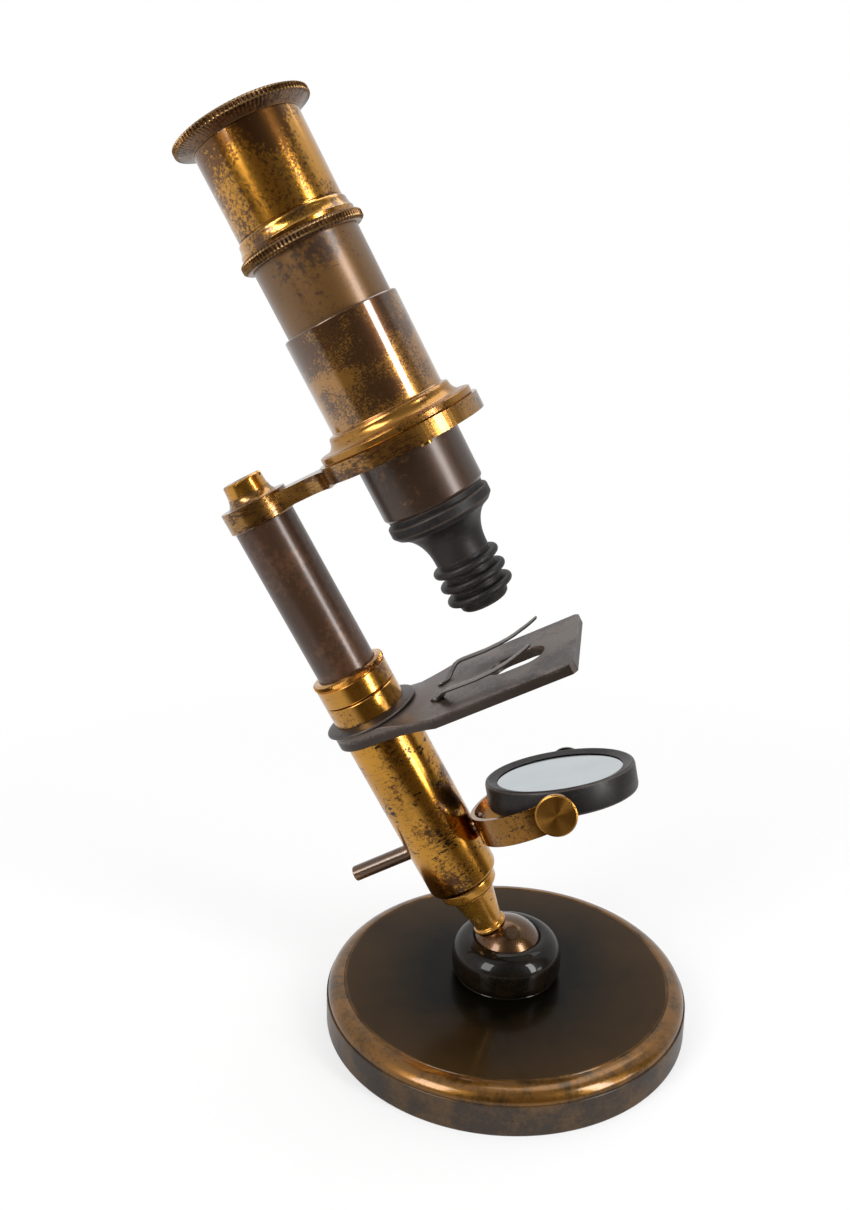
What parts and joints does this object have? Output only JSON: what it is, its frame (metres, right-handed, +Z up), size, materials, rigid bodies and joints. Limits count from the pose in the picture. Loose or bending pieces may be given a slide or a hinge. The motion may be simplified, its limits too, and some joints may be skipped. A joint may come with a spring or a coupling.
{
  "type": "compound microscope",
  "caption": "Small antique brass compound microscope on a round foot, leaning on a ball joint, with stage clips and a swinging mirror in a fork",
  "frame": {"origin": "centre of the round foot on the surface that it stands on", "axes": "+Z up; the limb leans towards -X; +X to the right as seen from the front, -Y towards the front"},
  "size_m": [0.139, 0.105, 0.2483],
  "materials": {
    "foot_bronze": "worn dark bronze lacquer",
    "socket_bronze": "glossy dark bronze lacquer",
    "lacquered_brass": "aged lacquered brass",
    "polished_brass": "polished turned brass",
    "mottled_brass": "worn mottled brass lacquer",
    "bronzed_tube": "satin bronzed brass",
    "black_brass": "satin blackened brass",
    "stage_bronze": "satin bronzed plate with worn edges",
    "ball_brass": "satin copper-toned brass",
    "spring_steel": "darkened spring steel",
    "screw_steel": "blued steel",
    "lead": "dull cast lead",
    "optical_glass": "polished",
    "mirror_glass": "silvered glass"
  },
  "bodies": {
    "base": {"foot": "foot_bronze", "foot_weight": "lead", "weight_screws": "screw_steel", "socket": "socket_bronze", "joint_plate": "lacquered_brass", "disc_spring": "spring_steel"},
    "cup": {"ball_cup": "lacquered_brass"},
    "ball": {"ball": "ball_brass"},
    "limb": {"neck": "lacquered_brass", "lower_sleeve": "lacquered_brass", "key_screw": "screw_steel", "stage": "stage_bronze", "stage_washer": "stage_bronze", "collar": "lacquered_brass"},
    "focus_ring": {"focus_ring": "lacquered_brass", "ring_screws": "screw_steel"},
    "pillar": {"pillar": "bronzed_tube", "pillar_plug": "lacquered_brass", "arm": "mottled_brass", "arm_nut": "lacquered_brass", "body_sleeve": "mottled_brass", "arm_screws": "lacquered_brass"},
    "body_tube": {"body_tube": "bronzed_tube", "grip_ring": "bronzed_tube", "tube_band": "polished_brass", "tube_stop": "black_brass", "objective_cone": "black_brass", "lens_mount_1": "black_brass", "lens_mount_2": "black_brass", "lens_mount_3": "black_brass", "objective_lens_1": "optical_glass", "objective_lens_2": "optical_glass", "objective_lens_3": "optical_glass"},
    "eyepiece": {"eye_drum": "lacquered_brass", "eye_tube": "bronzed_tube", "eye_cap": "mottled_brass", "eye_lens": "optical_glass", "field_lens": "optical_glass", "field_stop": "black_brass"},
    "mirror_rod": {"mirror_rod": "bronzed_tube"},
    "mirror_fork": {"mirror_fork": "lacquered_brass", "pivot_screws": "polished_brass"},
    "mirror": {"mirror_cell": "black_brass", "mirror_flat": "mirror_glass", "mirror_hollow": "mirror_glass"},
    "clip_left": {"clip_left": "spring_steel", "clip_pin_left": "screw_steel"},
    "clip_right": {"clip_right": "spring_steel", "clip_pin_right": "screw_steel"}
  },
  "joints": [
    {"name": "cup_turn", "type": "hinge", "parent": "base", "child": "cup", "pos_m": [0, 0, 0.0175], "axis": [0, 0, 1], "continuous": true},
    {"name": "ball_tilt", "type": "hinge", "parent": "cup", "child": "ball", "pos_m": [0, 0, 0.0175], "axis": [0, 1, 0], "range_deg": [-1.5, 28.1]},
    {"name": "limb_turn", "type": "hinge", "parent": "ball", "child": "limb", "pos_m": [0, 0, 0.0175], "axis": [-0.471, 0, 0.8821], "continuous": true},
    {"name": "focus_turn", "type": "hinge", "parent": "limb", "child": "focus_ring", "pos_m": [0, 0, 0.0175], "axis": [-0.471, 0, 0.8821], "range_deg": [-550, 550]},
    {"name": "focus_lift", "type": "slide", "parent": "limb", "child": "pillar", "axis": [-0.471, 0, 0.8821], "range_m": [-0.0015, 0.0015]},
    {"name": "tube_draw", "type": "slide", "parent": "pillar", "child": "body_tube", "axis": [-0.471, 0, 0.8821], "range_m": [-0.01, 0.014]},
    {"name": "eyepiece_draw", "type": "slide", "parent": "body_tube", "child": "eyepiece", "axis": [-0.471, 0, 0.8821], "range_m": [0, 0.022]},
    {"name": "rod_draw", "type": "slide", "parent": "limb", "child": "mirror_rod", "axis": [0.8687, -0.1736, 0.4639], "range_m": [-0.0005, 0.006]},
    {"name": "fork_turn", "type": "hinge", "parent": "mirror_rod", "child": "mirror_fork", "pos_m": [-0.01978, 0, 0.05455], "axis": [0.8687, -0.1736, 0.4639], "range_deg": [-30, 59]},
    {"name": "mirror_tilt", "type": "hinge", "parent": "mirror_fork", "child": "mirror", "pos_m": [0.01306, -0.00656, 0.07208], "axis": [0.2522, 0.9611, -0.1126], "continuous": true},
    {"name": "clip_left_turn", "type": "hinge", "parent": "limb", "child": "clip_left", "pos_m": [-0.02067, -0.00052, 0.10078], "axis": [-0.471, 0, 0.8821], "range_deg": [-12, 20]},
    {"name": "clip_right_turn", "type": "hinge", "parent": "limb", "child": "clip_right", "pos_m": [-0.02298, -0.01017, 0.09955], "axis": [-0.471, 0, 0.8821], "range_deg": [-20, 12]}
  ],
  "couplings": [
    {"joint": "focus_turn", "follows": "focus_lift", "rad_per_m": 6283.2}
  ]
}
